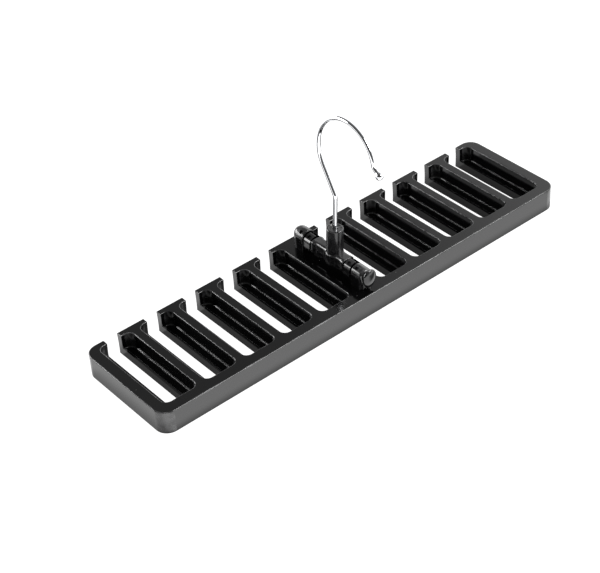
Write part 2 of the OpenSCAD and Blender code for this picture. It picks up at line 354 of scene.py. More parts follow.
def tidy(piece, merge=2e-6, smooth=35, flat=0.4):
    """Merges doubles, clears needless edges, turns the faces out and smooths the round ones."""
    select_all_of(piece)
    bpy.ops.mesh.remove_doubles(threshold=merge)
    if flat:
        bpy.ops.mesh.select_all(action="SELECT")
        bpy.ops.mesh.dissolve_limited(angle_limit=math.radians(flat))
    bpy.ops.mesh.select_all(action="SELECT")
    bpy.ops.mesh.normals_make_consistent(inside=False)
    leave()
    only(piece)
    bpy.ops.object.shade_smooth_by_angle(angle=math.radians(smooth))


def weigh_normals(piece):
    """Keeps the flat faces flat beside their rounded edges."""
    only(piece)
    bpy.ops.object.modifier_add(type="WEIGHTED_NORMAL")
    step = piece.modifiers[-1]
    step.weight = 90
    step.keep_sharp = True
    bpy.ops.object.modifier_apply(modifier=step.name)


def mark_edges(piece, widest=1.4 * MM):
    """Paints the edge attribute: rubbed wear and a painted highlight on narrow rounded faces, up to 1 on those turned
    up, 0 elsewhere.
    """
    mesh = piece.data
    layer = mesh.attributes.new("edge_rub_and_highlight", "FLOAT", "CORNER")
    values = [0.0] * len(mesh.loops)
    for face in mesh.polygons:
        spread = sorted((mesh.vertices[a].co - mesh.vertices[b].co).length for a, b in face.edge_keys)
        narrow = spread[0] < widest and max(abs(part) for part in face.normal) < 0.999
        if narrow and len(spread) > 2 and spread[1] < widest * 1.5:
            # Painted highlight: edges that face up get more of it, as if lit from above
            highlight_from_above = max(0.0, min(1.0, 0.5 + face.normal.z))
            for corner in face.loop_indices:
                values[corner] = highlight_from_above
    layer.data.foreach_set("value", values)


def on_pivot(piece, sizes):
    """Moves a piece drawn about the pivot line to its place and lean at rest."""
    piece.data.transform(
        Matrix.Translation((0, sizes.hinge_mid_y, sizes.pivot_z)) @ Matrix.Rotation(sizes.lean, 4, "Y")
    )


def hand_over(piece, name, body, replaced, finish):
    """Names the finished piece, gives it its finish and says what it rides on and stands for."""
    piece.name = piece.data.name = name
    piece.data.materials.clear()
    piece.data.materials.append(bpy.data.materials[finish])
    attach(piece, body)
    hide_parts(*replaced)


# Finishes


def new_group(name, inputs, outputs):
    group = bpy.data.node_groups.new(name, "ShaderNodeTree")
    for kind, label, value in inputs:
        socket = group.interface.new_socket(name=label, in_out="INPUT", socket_type="NodeSocket" + kind)
        if value is not None:
            socket.default_value = value
    for kind, label in outputs:
        group.interface.new_socket(name=label, in_out="OUTPUT", socket_type="NodeSocket" + kind)
    start = group.nodes.new("NodeGroupInput")
    end = group.nodes.new("NodeGroupOutput")
    return group, start, end


def node(tree, kind, **settings):
    made = tree.nodes.new("ShaderNode" + kind)
    for key, value in settings.items():
        setattr(made, key, value)
    return made


def wire_up(tree, *pairs):
    for out, into in pairs:
        tree.links.new(out, into)


def maths(tree, how, a, b=None, clamp=False):
    made = node(tree, "Math", operation=how, use_clamp=clamp)
    for place, value in enumerate((a, b)):
        if value is None:
            continue
        if isinstance(value, (int, float)):
            made.inputs[place].default_value = value
        else:
            tree.links.new(value, made.inputs[place])
    return made.outputs[0]


def product(tree, *values, clamp=False):
    total = values[0]
    for value in values[1:]:
        total = maths(tree, "MULTIPLY", total, value, clamp=clamp and value is values[-1])
    return total


def noise(tree, vector, scale, detail=2.0, rough=0.5, stretch=None):
    if stretch is not None:
        mapping = node(tree, "Mapping")
        mapping.inputs["Scale"].default_value = stretch
        tree.links.new(vector, mapping.inputs["Vector"])
        vector = mapping.outputs[0]
    made = node(tree, "TexNoise")
    made.inputs["Scale"].default_value = scale
    made.inputs["Detail"].default_value = detail
    made.inputs["Roughness"].default_value = rough
    tree.links.new(vector, made.inputs["Vector"])
    return made.outputs["Fac"]


def between(tree, value, low, high, new_low=0.0, new_high=1.0):
    made = node(tree, "MapRange", interpolation_type="SMOOTHSTEP")
    made.inputs["From Min"].default_value = low
    made.inputs["From Max"].default_value = high
    made.inputs["To Min"].default_value = new_low
    made.inputs["To Max"].default_value = new_high
    tree.links.new(value, made.inputs["Value"])
    return made.outputs[0]


def moulded_skin():
    """Group: the slight waviness and fine orange peel of a moulded or plated surface."""
    group, start, end = new_group(
        "moulded skin",
        [("Vector", "Position", None), ("Float", "Wave", 1.0), ("Float", "Peel", 1.0)],
        [("Float", "Height")],
    )
    at = start.outputs["Position"]
    wave = noise(group, at, 55, 1.0, 0.4)
    peel = noise(group, at, 900, 2.0, 0.5)
    wave = product(group, wave, start.outputs["Wave"])
    height = maths(group, "ADD", wave, product(group, peel, start.outputs["Peel"]))
    wire_up(group, (height, end.inputs["Height"]))
    return group


def handling_marks():
    """Group: soft smears and hair scratches, as two masks."""
    group, start, end = new_group(
        "handling marks",
        [("Vector", "Position", None), ("Float", "Smears", 1.0), ("Float", "Scratches", 1.0)],
        [("Float", "Smear"), ("Float", "Scratch")],
    )
    at = start.outputs["Position"]
    broad = between(group, noise(group, at, 38, 3.0, 0.55), 0.48, 0.72)
    fine = noise(group, at, 260, 2.0, 0.6)
    smear = product(group, broad, fine, start.outputs["Smears"], clamp=True)
    along = noise(group, at, 60, 4.0, 0.6, stretch=(1.0, 46.0, 20.0))
    aslant = noise(group, at, 50, 4.0, 0.6, stretch=(52.0, 2.0, 20.0))
    hair = maths(group, "MAXIMUM", between(group, along, 0.70, 0.76), between(group, aslant, 0.71, 0.77))
    patch = between(group, noise(group, at, 24, 1.0, 0.5), 0.5, 0.64)
    scratch = product(group, hair, patch, start.outputs["Scratches"], clamp=True)
    wire_up(group, (smear, end.inputs["Smear"]), (scratch, end.inputs["Scratch"]))
    return group


def settled_dust():
    """Group: specks of dust that lie on what faces up."""
    group, start, end = new_group(
        "settled dust",
        [("Vector", "Position", None), ("Vector", "Normal", None), ("Float", "Amount", 1.0)],
        [("Float", "Dust")],
    )
    at = start.outputs["Position"]
    cells = node(group, "TexVoronoi", feature="F1")
    cells.inputs["Scale"].default_value = 420
    wire_up(group, (at, cells.inputs["Vector"]))
    speck = between(group, cells.outputs["Distance"], 0.16, 0.07)
    some = between(group, noise(group, at, 140, 1.0, 0.5), 0.66, 0.72)
    parts = node(group, "SeparateXYZ")
    wire_up(group, (start.outputs["Normal"], parts.inputs[0]))
    up = between(group, parts.outputs["Z"], 0.5, 0.95)
    film = between(group, noise(group, at, 30, 3.0, 0.6), 0.35, 0.8, 0.0, 0.012)
    lying = maths(group, "ADD", product(group, speck, some), film)
    dust = product(group, lying, up, start.outputs["Amount"], clamp=True)
    wire_up(group, (dust, end.inputs["Dust"]))
    return group


def rubbed_and_highlit_edge():
    """Group: where the rounded edges are lightened, as rubbed wear and as a painted highlight, broken up along their
    length.
    """
    group, start, end = new_group(
        "rubbed and highlit edge",
        [("Vector", "Position", None), ("Float", "Edge", 0.0), ("Float", "Amount", 1.0)],
        [("Float", "RubAndHighlight")],
    )
    broken = between(group, noise(group, start.outputs["Position"], 120, 3.0, 0.6), 0.40, 0.66, 0.15, 1.0)
    rub_and_highlight = product(group, start.outputs["Edge"], broken, start.outputs["Amount"], clamp=True)
    wire_up(group, (rub_and_highlight, end.inputs["RubAndHighlight"]))
    return group


def place_group(tree, name, at, **values):
    made = node(tree, "Group", node_tree=bpy.data.node_groups[name])
    tree.links.new(at, made.inputs["Position"])
    for label, value in values.items():
        if isinstance(value, (int, float)):
            made.inputs[label].default_value = value
        else:
            tree.links.new(value, made.inputs[label])
    return made


def mix_colour(tree, amount, first, second):
    made = node(tree, "Mix", data_type="RGBA")
    tree.links.new(amount, made.inputs["Factor"])
    for socket, value in ((made.inputs["A"], first), (made.inputs["B"], second)):
        if isinstance(value, (tuple, list)):
            socket.default_value = value
        else:
            tree.links.new(value, socket)
    return made.outputs["Result"]


def mix_grey(tree, amount, first, second):
    made = node(tree, "Mix", data_type="FLOAT")
    for socket, value in ((made.inputs["Factor"], amount), (made.inputs["A"], first), (made.inputs["B"], second)):
        if isinstance(value, (int, float)):
            socket.default_value = value
        else:
            tree.links.new(value, socket)
    return made.outputs["Result"]


def colour(value, factor=1.0):
    return tuple(part * factor for part in value) + (1.0,)


def plastic_finish(name, looks, shade=1.0, rough=None, wave=1.0, peel=1.0, rub_and_highlight=1.0, dust=1.0):
    """Gloss black moulded plastic with its skin, handling marks, dust, and rounded edges lightened as rubbed wear and
    a painted highlight.
    """
    finish = bpy.data.materials.new(name)
    finish.use_nodes = True
    tree = finish.node_tree
    shader = tree.nodes["Principled BSDF"]
    at = node(tree, "TexCoord").outputs["Object"]
    facing = node(tree, "NewGeometry").outputs["Normal"]
    edge = node(tree, "Attribute", attribute_name="edge_rub_and_highlight").outputs["Fac"]
    skin = place_group(tree, "moulded skin", at, Wave=wave, Peel=peel)
    marks = place_group(tree, "handling marks", at, Smears=1.0, Scratches=0.6)
    lying = place_group(tree, "settled dust", at, Normal=facing, Amount=dust)
    worn_and_highlit = place_group(tree, "rubbed and highlit edge", at, Edge=edge, Amount=rub_and_highlight)
    base = colour(looks.plastic, shade)
    flow = between(tree, noise(tree, at, 26, 2.0, 0.5), 0.3, 0.7)
    body = mix_colour(tree, flow, base, colour(looks.plastic, shade * 1.25))
    # Lightens the rounded edges: rubbed wear and a painted edge highlight
    body = mix_colour(tree, worn_and_highlit.outputs["RubAndHighlight"], body, colour(looks.plastic_rub_and_highlight))
    body = mix_colour(tree, lying.outputs["Dust"], body, colour(looks.dust))
    gloss = looks.gloss if rough is None else rough
    dull = maths(tree, "ADD", product(tree, marks.outputs["Smear"], 0.10), gloss)
    dull = maths(tree, "ADD", dull, product(tree, marks.outputs["Scratch"], 0.16))
    dull = maths(tree, "ADD", dull, product(tree, worn_and_highlit.outputs["RubAndHighlight"], 0.12))
    dull = maths(tree, "ADD", dull, product(tree, lying.outputs["Dust"], 0.5), clamp=True)
    bump = node(tree, "Bump")
    bump.inputs["Strength"].default_value = 0.16
    bump.inputs["Distance"].default_value = 0.00012
    wire_up(
        tree,
        (body, shader.inputs["Base Color"]),
        (dull, shader.inputs["Roughness"]),
        (skin.outputs["Height"], bump.inputs["Height"]),
        (bump.outputs["Normal"], shader.inputs["Normal"]),
    )
    shader.inputs["IOR"].default_value = 1.52
    return finish


def plated_finish(name, looks, rough=0.06):
    """Bright plated steel with slight drawing lines, smears and pin marks."""
    finish = bpy.data.materials.new(name)
    finish.use_nodes = True
    tree = finish.node_tree
    shader = tree.nodes["Principled BSDF"]
    at = node(tree, "TexCoord").outputs["Object"]
    marks = place_group(tree, "handling marks", at, Smears=1.0, Scratches=0.8)
    skin = place_group(tree, "moulded skin", at, Wave=0.5, Peel=0.6)
    warm = between(tree, noise(tree, at, 90, 2.0, 0.5), 0.35, 0.7)
    body = mix_colour(tree, warm, colour(looks.chrome), colour(looks.chrome, 0.93))
    body = mix_colour(tree, marks.outputs["Smear"], body, colour(looks.chrome, 0.80))
    dull = maths(tree, "ADD", product(tree, marks.outputs["Smear"], 0.14), rough)
    dull = maths(tree, "ADD", dull, product(tree, marks.outputs["Scratch"], 0.12), clamp=True)
    bump = node(tree, "Bump")
    bump.inputs["Strength"].default_value = 0.08
    bump.inputs["Distance"].default_value = 0.00008
    wire_up(
        tree,
        (body, shader.inputs["Base Color"]),
        (dull, shader.inputs["Roughness"]),
        (skin.outputs["Height"], bump.inputs["Height"]),
        (bump.outputs["Normal"], shader.inputs["Normal"]),
    )
    shader.inputs["Metallic"].default_value = 1.0
    return finish


class TIEHANGER_OT_finishes(bpy.types.Operator):
    """Builds the shared effects and every finish"""

    bl_idname = "tie_hanger.finishes"
    bl_label = "Build the finishes"

    def execute(self, context):
        looks = context.scene.tie_hanger_finishes
        moulded_skin()
        handling_marks()
        settled_dust()
        rubbed_and_highlit_edge()
        plastic_finish("rack plastic", looks, wave=0.6, peel=0.08)
        plastic_finish("pin plastic", looks, shade=1.1, rough=0.10, wave=0.6, peel=0.3, rub_and_highlight=0.3, dust=0.6)
        plastic_finish("hinge plastic", looks, shade=1.1, rough=0.12, wave=0.6, peel=0.3, rub_and_highlight=0.4, dust=0.6)
        plated_finish("bright plating", looks)
        plated_finish("washer plating", looks, rough=0.22)
        return {"FINISHED"}


# Rack


def slot_places(sizes):
    pitch = sizes.slot_w + sizes.arm_w
    first = (sizes.bridge_w + sizes.slot_w) / 2
    return [Vector((side * (first + step * pitch), 0, 0)) for side in (-1, 1) for step in range(sizes.slots_per_side)]


def slab(sizes):
    """The rack before its slots: round corners in plan, rounded upper and lower edges."""
    x, y, top = sizes.rack_l / 2, sizes.rack_w / 2, sizes.rack_t
    piece = block("rack", (-x, -y, 0), (x, y, top))
    round_edges(piece, sizes.corner_r, 14, lambda e: runs_along(e, 2))
    round_edges(piece, sizes.edge_r, 5, lambda e: lies_at(e, 2, top))
    round_edges(piece, sizes.foot_r, 3, lambda e: lies_at(e, 2, 0.0))
    return piece


def arc_steps(radius, count):
    """Inward and onward steps round a quarter circle, from steep to level."""
    turns = (math.pi / 2 * step / count for step in range(count + 1))
    points = [(radius * (1 - math.cos(turn)), radius * math.sin(turn)) for turn in turns]
    return [(b[0] - a[0], b[1] - a[1]) for a, b in zip(points, points[1:])]


def face_looking(axis, way, reach):
    """Test for the end face of a tool that looks one way."""
    return lambda f: f.normal[axis] * way > 0.9 and abs(middle(f)[axis] - reach) < 1e-6


def pocket_tool(sizes):
    """Tool for one slot above its floor: rounded upper edge, straight wall, rounded foot."""
    edge, foot = sizes.slot_edge_r, sizes.floor_fillet_r
    y0 = -sizes.rack_w / 2 + sizes.rail_w
    y1 = sizes.rack_w / 2 - sizes.lip_t
    top = sizes.rack_t + CLEAR
    half = sizes.slot_w / 2
    tool = block("pocket", (-half - edge, y0 - edge, top), (half + edge, y1 + edge, top + 2 * MM))
    round_edges(tool, sizes.slot_corner_r + edge, 9, lambda e: runs_along(e, 2))
    edit(tool)
    pick(tool, "FACE", face_looking(2, -1, top))
    for inward, onward in reversed(arc_steps(edge, 3)):
        bpy.ops.mesh.inset(thickness=inward, depth=onward, use_even_offset=True)
    push_out(z=-(top - edge - (sizes.floor_t + foot)))
    for inward, onward in arc_steps(foot, 4):
        bpy.ops.mesh.inset(thickness=inward, depth=onward, use_even_offset=True)
    leave()
    return tool


def rim_piece(sizes):
    """Rim on the floor round the throat, before the throat is cut."""
    half = sizes.throat_w / 2 + sizes.rim_w
    end = -sizes.rack_w / 2 + sizes.rail_w + sizes.throat_setback + sizes.throat_w / 2
    y1 = sizes.rack_w / 2 - sizes.lip_t / 2
    top = sizes.floor_t + sizes.rim_h
    piece = block("rim", (-half, end - half, sizes.floor_t / 2), (half, y1, top))
    full_round(piece, half, 12, lambda e: runs_along(e, 2) and middle(e).y < end)
    round_edges(piece, sizes.rim_edge_r, 3, lambda e: lies_at(e, 2, top) and middle(e).y < y1 - 1e-6)
    return piece


def throat_tool(sizes):
    """Tool for one throat: opens by a round at the underside and by a small one at the lips' top."""
    half, flare, edge = sizes.throat_w / 2, sizes.under_r, sizes.rim_edge_r
    end = -sizes.rack_w / 2 + sizes.rail_w + sizes.throat_setback + half
    y1 = sizes.rack_w / 2 + 6 * MM
    tool = block("throat", (-half - flare, end - half - flare, -2 * MM), (half + flare, y1, -CLEAR))
    full_round(tool, half + flare, 14, lambda e: runs_along(e, 2) and middle(e).y < end)
    edit(tool)
    pick(tool, "FACE", face_looking(2, 1, -CLEAR))
    for inward, onward in reversed(arc_steps(flare, 3)):
        bpy.ops.mesh.inset(thickness=inward, depth=onward, use_even_offset=True)
    push_out(z=sizes.rack_t - edge - flare + 2 * CLEAR)
    width = half
    for outward, onward in arc_steps(edge, 3):
        push_out(z=onward)
        widen((width + outward) / width, (0, 0, 0))
        width += outward
    push_out(z=2 * MM)
    leave()
    return tool


def post_face(hinge, side):
    """Place across the rack of a post's inner face: side is -1 at the front, 1 at the rear."""
    return hinge.hinge_mid_y + side * (hinge.block_l / 2 + hinge.clip_l + 2 * hinge.clip_gap)


def over_floor(edge, sizes):
    return middle(edge).z > sizes.rack_t * 0.6


def rear_post(sizes, hinge):
    """Rear post: a rounded upright with a barrel top and a domed end."""
    half = hinge.rear_post_w / 2
    y0 = post_face(hinge, 1)
    y1 = y0 + hinge.rear_post_l + half
    top = hinge.pivot_z + hinge.rear_post_up
    piece = block("rear_post", (-half, y0, sizes.rack_t / 2), (half, y1, top))
    end = lambda v: abs(v.co.y - y1) < 1e-6
    high = lambda v: abs(v.co.z - top) < 1e-6
    full_round(
        piece, half, 12,
        lambda e: (runs_along(e, 2) and end(e.verts[0])) or (runs_along(e, 1) and high(e.verts[0]))
        or (runs_along(e, 0) and end(e.verts[0]) and high(e.verts[0])),
    )
    round_edges(piece, hinge.post_face_r, 3, lambda e: lies_at(e, 1, y0) and over_floor(e, sizes))
    return piece


def front_post(sizes, hinge):
    """Front post: an upright with a barrel top and softened ends."""
    half = hinge.post_w / 2
    y1 = post_face(hinge, -1)
    y0 = y1 - hinge.front_post_l
    top = hinge.pivot_z + half
    piece = block("front_post", (-half, y0, sizes.rack_t / 2), (half, y1, top))
    full_round(piece, half, 12, lambda e: runs_along(e, 1) and abs(e.verts[0].co.z - top) < 1e-6)
    round_edges(piece, hinge.post_end_r, 6, lambda e: lies_at(e, 1, y0) and over_floor(e, sizes))
    round_edges(piece, hinge.post_face_r, 3, lambda e: lies_at(e, 1, y1) and over_floor(e, sizes))
    return piece


class TIEHANGER_OT_rack(bpy.types.Operator):
    """Models the moulded rack with its slots, rims, lips and hinge posts"""

    bl_idname = "tie_hanger.rack"
    bl_label = "Model the rack"

    def execute(self, context):
        sizes = context.scene.tie_hanger_rack
        hinge = context.scene.tie_hanger_hinge
        places = slot_places(sizes)
        piece = slab(sizes)
        carve(piece, copies(pocket_tool(sizes), places))
        carve(piece, copies(rim_piece(sizes), places), "UNION")
        carve(piece, copies(throat_tool(sizes), places))
        lip_y = (sizes.rack_w / 2 - sizes.lip_t, sizes.rack_w / 2)
        throat = sizes.throat_w / 2
        rim_top = sizes.floor_t + sizes.rim_h

        def beside_throat(place):
            return min(abs(abs(place.x - spot.x) - throat) for spot in places)

        def lip_edge(e):
            place = middle(e)
            return (
                runs_along(e, 2) and beside_throat(place) < 1e-5
                and any(abs(place.y - y) < 1e-5 for y in lip_y)
                and e.calc_length() > 2 * MM
            )

        def rim_edge(e):
            beside_wall = len(e.link_faces) == 2 and any(abs(f.normal.z) < 0.2 for f in e.link_faces)
            return lies_at(e, 2, rim_top) and beside_wall

        tidy(piece, flat=0.2)
        round_edges(piece, sizes.rim_edge_r, 3, rim_edge)
        round_edges(piece, sizes.lip_edge_r, 4, lip_edge)
        carve(piece, rear_post(sizes, hinge), "UNION")
        carve(piece, front_post(sizes, hinge), "UNION")
        pin_y0 = post_face(hinge, -1) - hinge.front_post_l - 2 * MM
        pin_y1 = post_face(hinge, 1) + 6 * MM
        for side in (-1, 1):
            window = window_tool(hinge)
            window_y = hinge.hinge_mid_y + side * hinge.post_window_y
            window.data.transform(Matrix.Translation((0, window_y, hinge.pivot_z)))
            carve(piece, window)
        centre = (0, (pin_y0 + pin_y1) / 2, hinge.pivot_z)
        carve(piece, bar("bore", hinge.pin_d / 2 + 0.05 * MM, centre, pin_y1 - pin_y0, "Y", 32))
        tidy(piece, flat=0.2)
        mark_edges(piece)
        weigh_normals(piece)
        hand_over(piece, "comb_rack", "rack", ["rack"], "rack plastic")
        return {"FINISHED"}


# Hinge


class TIEHANGER_OT_pin(bpy.types.Operator):
    """Models the pivot pin with its oval domed head"""

    bl_idname = "tie_hanger.pin"
    bl_label = "Model the pivot pin"

    def execute(self, context):
        hinge = context.scene.tie_hanger_hinge
        radius = hinge.pin_d / 2
        head_y = post_face(hinge, -1) - hinge.front_post_l - hinge.head_gap
        deselect()
        bpy.ops.mesh.primitive_circle_add(
            vertices=48, radius=radius, fill_type="NGON",
            location=(0, PIN_END, hinge.pivot_z), rotation=(math.pi / 2, 0, 0),
        )
        piece = context.object
        settle()
        edit(piece)
        bpy.ops.mesh.select_all(action="SELECT")
        push_out(y=head_y - PIN_END)
        # Share of the head's length from its back, and share of its full outline there
        outline = [(0.0, 0.44), (0.06, 0.58), (0.14, 0.72), (0.25, 0.86), (0.37, 0.95), (0.49, 1.0), (0.61, 0.97),
                   (0.72, 0.88), (0.81, 0.75), (0.89, 0.59), (0.95, 0.41), (0.985, 0.21)]
        at, wide, tall = head_y, radius, radius
        for onward, share_of in outline:
            place = head_y - onward * hinge.head_l
            push_out(y=place - at)
            new_wide, new_tall = share_of * hinge.head_w / 2, share_of * hinge.head_up / 2
            widen(new_wide / wide, (0, place, hinge.pivot_z), tall=new_tall / tall)
            at, wide, tall = place, new_wide, new_tall
        push_out(y=head_y - hinge.head_l - at)
        bpy.ops.mesh.merge(type="CENTER")
        leave()
        tidy(piece, smooth=50, flat=0)
        mark_edges(piece)
        hand_over(piece, "domed_pin", "rack", ["pivot_pin"], "pin plastic")
        return {"FINISHED"}


def window_tool(hinge):
    """Tool for the small shallow window in a barrel, about the pivot line."""
    wide, half = hinge.window_w / 2, hinge.clip_w / 2
    window = block("window", (-wide, -wide, half - hinge.window_depth), (wide, wide, 2 * half))
    round_edges(window, 0.35 * MM, 3, lambda e: runs_along(e, 2))
    window.data.transform(Matrix.Rotation(hinge.window_turn, 4, "Y"))
    return window


def clip_form(hinge):
    """A clip about the pivot line: barrel top, straight skirt, mouth, window and soft edges."""
    half, long = hinge.clip_w / 2, hinge.clip_l / 2
    piece = bar("clip", half, (0, 0, 0), 2 * long, "Y", 72)
    carve(piece, block("skirt", (-half, -long, -hinge.clip_down), (half, long, 0)), "UNION")
    carve(piece, bar("bore", hinge.pin_d / 2 + 0.1 * MM, (0, 0, 0), 4 * long, "Y", 48))
    mouth = block("mouth", (-hinge.mouth_w / 2, -2 * long, 0), (hinge.mouth_w / 2, 2 * long, 2 * half))
    mouth.data.transform(Matrix.Rotation(hinge.mouth_turn, 4, "Y"))
    carve(piece, mouth)
    carve(piece, window_tool(hinge))
    tidy(piece, flat=1.0)
    only(piece)
    bpy.ops.object.modifier_add(type="BEVEL")
    step = piece.modifiers[-1]
    step.width, step.segments = hinge.clip_edge_r, 4
    step.limit_method, step.angle_limit = "ANGLE", math.radians(40)
    bpy.ops.object.modifier_apply(modifier=step.name)
    tidy(piece, flat=0)
    return piece


class TIEHANGER_OT_clips(bpy.types.Operator):
    """Models the two clips on the pin"""

    bl_idname = "tie_hanger.clips"
    bl_label = "Model the clips"

    def execute(self, context):
        hinge = context.scene.tie_hanger_hinge
        place = hinge.block_l / 2 + hinge.clip_gap + hinge.clip_l / 2
        for side, name, stands_for in ((-1, "clip_front", "front_clip"), (1, "clip_rear", "rear_clip")):
            piece = clip_form(hinge)
            piece.data.transform(Matrix.Translation((0, side * place, 0)))
            on_pivot(piece, hinge)
            mark_edges(piece)
            weigh_normals(piece)
            hand_over(piece, name, "rack", [stands_for], "pin plastic")
        return {"FINISHED"}


class TIEHANGER_OT_swivel_block(bpy.types.Operator):
    """Models the block that turns on the pin, with its flared arms and its collar"""

    bl_idname = "tie_hanger.swivel_block"
    bl_label = "Model the swivel block"

    def execute(self, context):
        hinge = context.scene.tie_hanger_hinge
        end = hinge.block_l / 2
        band = hinge.block_end_w / 2
        piece = block("block", (-band, end - 0.3 * MM, -hinge.block_down), (band, end, hinge.block_up))
        high = lambda e: runs_along(e, 1) and e.verts[0].co.z > 0
        low = lambda e: runs_along(e, 1) and e.verts[0].co.z < 0
        round_edges(piece, 2.0 * MM, 7, high)
        round_edges(piece, 0.7 * MM, 3, low)
        # Place along the block and half its width there, in millimetres
        stations = [
            (12.6, 4.4), (12.1, 4.25), (11.7, 3.95), (11.3, 3.7), (10.7, 3.55), (9.8, 3.5), (3.8, 3.5),
            (2.8, 3.65), (2.0, 3.95), (1.3, 4.35), (0.6, 4.85), (0.0, 5.25), (-0.5, 5.4), (-4.0, 5.4),
            (-4.5, 5.25), (-5.1, 4.85), (-5.8, 4.4), (-6.5, 4.15), (-7.4, 4.0), (-11.0, 4.0), (-11.5, 4.08),
            (-12.0, 4.25), (-12.4, 4.4), (-14.15, 4.4),
        ]
        edit(piece)
        pick(piece, "FACE", lambda f: f.normal.y < -0.9)
        at, half = end - 0.3 * MM, band
        for place, wide in stations:
            place, wide = place * MM, wide * MM
            push_out(y=place - at)
            if abs(wide - half) > 1e-7:
                widen(wide / half, (0, place, 0))
            at, half = place, wide
        leave()
        round_edges(piece, 0.3 * MM, 3, lambda e: lies_at(e, 1, end) or lies_at(e, 1, -end))
        centre = (0, hinge.collar_y, (hinge.collar_up - hinge.block_down) / 2)
        collar_l = hinge.collar_up + hinge.block_down - 0.1 * MM
        collar = bar("collar", hinge.collar_d / 2, centre, collar_l, "Z", 64)
        top = max(v.co.z for v in collar.data.vertices)
        edge_r, rim_w, step_w, mouth_r = 0.75 * MM, 0.55 * MM, 0.35 * MM, 1.75 * MM
        round_edges(collar, edge_r, 5, lambda e: lies_at(e, 2, top))
        edit(collar)
        pick(collar, "FACE", face_looking(2, 1, top))
        bpy.ops.mesh.inset(thickness=rim_w)
        bpy.ops.mesh.inset(thickness=step_w, depth=-0.3 * MM)
        bpy.ops.mesh.inset(thickness=hinge.collar_d / 2 - edge_r - rim_w - step_w - mouth_r)
        bpy.ops.mesh.inset(thickness=step_w, depth=-step_w)
        push_out(z=-10 * MM)
        leave()
        carve(piece, collar, "UNION")
        carve(piece, bar("bore", hinge.pin_d / 2 + 0.1 * MM, (0, 0, 0), hinge.block_l + 4 * MM, "Y", 48))
        tidy(piece, smooth=38, flat=0.1)
        on_pivot(piece, hinge)
        mark_edges(piece)
        weigh_normals(piece)
        hand_over(piece, "collar_block", "swivel_block", ["swivel_block"], "hinge plastic")
        return {"FINISHED"}


# Hook


def turn_2d(angle, size=1.0):
    return Vector((math.cos(angle), math.sin(angle))) * size


class TIEHANGER_OT_hook(bpy.types.Operator):
    """Bends the plated wire hook and sets the ball on its tip"""

    bl_idname = "tie_hanger.hook"
    bl_label = "Bend the hook"

    def execute(self, context):
        hinge = context.scene.tie_hanger_hinge
        hook = context.scene.tie_hanger_hook
        stem_y = hinge.collar_y
        centre = Vector((hook.loop_fore, hook.loop_up))
        knee = Vector((0, hook.bend_up))
        reach = (centre - knee).length
        straight = math.atan2(centre.y - knee.y, centre.x) + math.asin(hook.loop_r / reach)
        straight_l = math.sqrt(reach ** 2 - hook.loop_r ** 2)
        turn = straight - math.pi / 2
        cut = hook.bend_r * math.tan(turn / 2)
        loop_start = straight + math.pi / 2
        loop_exit = centre + turn_2d(hook.loop_end, hook.loop_r)
        down = turn_2d(hook.loop_end - math.pi / 2)
        tip_centre = centre + turn_2d(hook.loop_end, hook.loop_r + hook.tip_bend_r) + down * 0.4 * MM
        heading = hook.loop_end - math.pi / 2 + hook.tip_turn
        tip_start = tip_centre - turn_2d(hook.loop_end + hook.tip_turn, hook.tip_bend_r)

        def place(flat):
            return (0, stem_y - flat.x, flat.y)

        def run(way, far):
            far = turn_2d(way, far)
            push_out(y=-far.x, z=far.y)

        def bend(about, angle, steps):
            bpy.ops.mesh.spin(steps=steps, angle=-angle, center=place(about), axis=(1, 0, 0))

        deselect()
        bpy.ops.mesh.primitive_circle_add(
            vertices=24, radius=hook.wire_d / 2, fill_type="NGON", location=(0, stem_y, hook.foot_up)
        )
        wire = context.object
        settle()
        edit(wire)
        bpy.ops.mesh.select_mode(type="FACE")
        bpy.ops.mesh.select_all(action="SELECT")
        run(math.pi / 2, hook.bend_up - cut - hook.foot_up)
        bend(Vector((-hook.bend_r, hook.bend_up - cut)), -turn, 8)
        run(straight, straight_l - cut)
        bend(centre, loop_start - hook.loop_end, 60)
        run(hook.loop_end - math.pi / 2, 0.4 * MM)
        bend(tip_centre, -hook.tip_turn, 10)
        run(heading, hook.tip_run + hook.ball_d / 2)
        leave()
        tidy(wire, merge=1e-7, smooth=50, flat=0)
        on_pivot(wire, hinge)
        hand_over(wire, "wire_hook", "hook", ["hook_wire"], "bright plating")

        radius = hook.ball_d / 2
        ball_centre = tip_start + turn_2d(heading, hook.tip_run + radius)
        deselect()
        bpy.ops.mesh.primitive_uv_sphere_add(segments=40, ring_count=24, radius=radius)
        ball = context.object
        neck = hook.wire_d / 2 + 0.02 * MM
        edit(ball)
        pick(ball, "FACE", lambda f: middle(f).z > math.sqrt(radius ** 2 - (neck * 1.12) ** 2))
        push_out(z=0.12 * MM)
        widen(0.94, (0, 0, radius), deep=0.94)
        push_out(z=0.3 * MM)
        widen(0.9, (0, 0, radius + 0.35 * MM), tall=0.3, deep=0.9)
        leave()
        tidy(ball, merge=1e-7, smooth=60, flat=0)
        ball.data.transform(
            Matrix.Translation(place(ball_centre)) @ Matrix.Rotation(math.pi / 2 + heading, 4, "X").inverted()
        )
        on_pivot(ball, hinge)
        hand_over(ball, "tip_ball", "hook", ["hook_tip"], "bright plating")
        return {"FINISHED"}


class TIEHANGER_OT_washer(bpy.types.Operator):
    """Gives the washer inside the collar its finish"""

    bl_idname = "tie_hanger.washer"
    bl_label = "Finish the washer"

    def execute(self, context):
        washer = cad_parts["stem_washer"]
        washer.data.materials.clear()
        washer.data.materials.append(bpy.data.materials["washer plating"])
        return {"FINISHED"}


# Studio


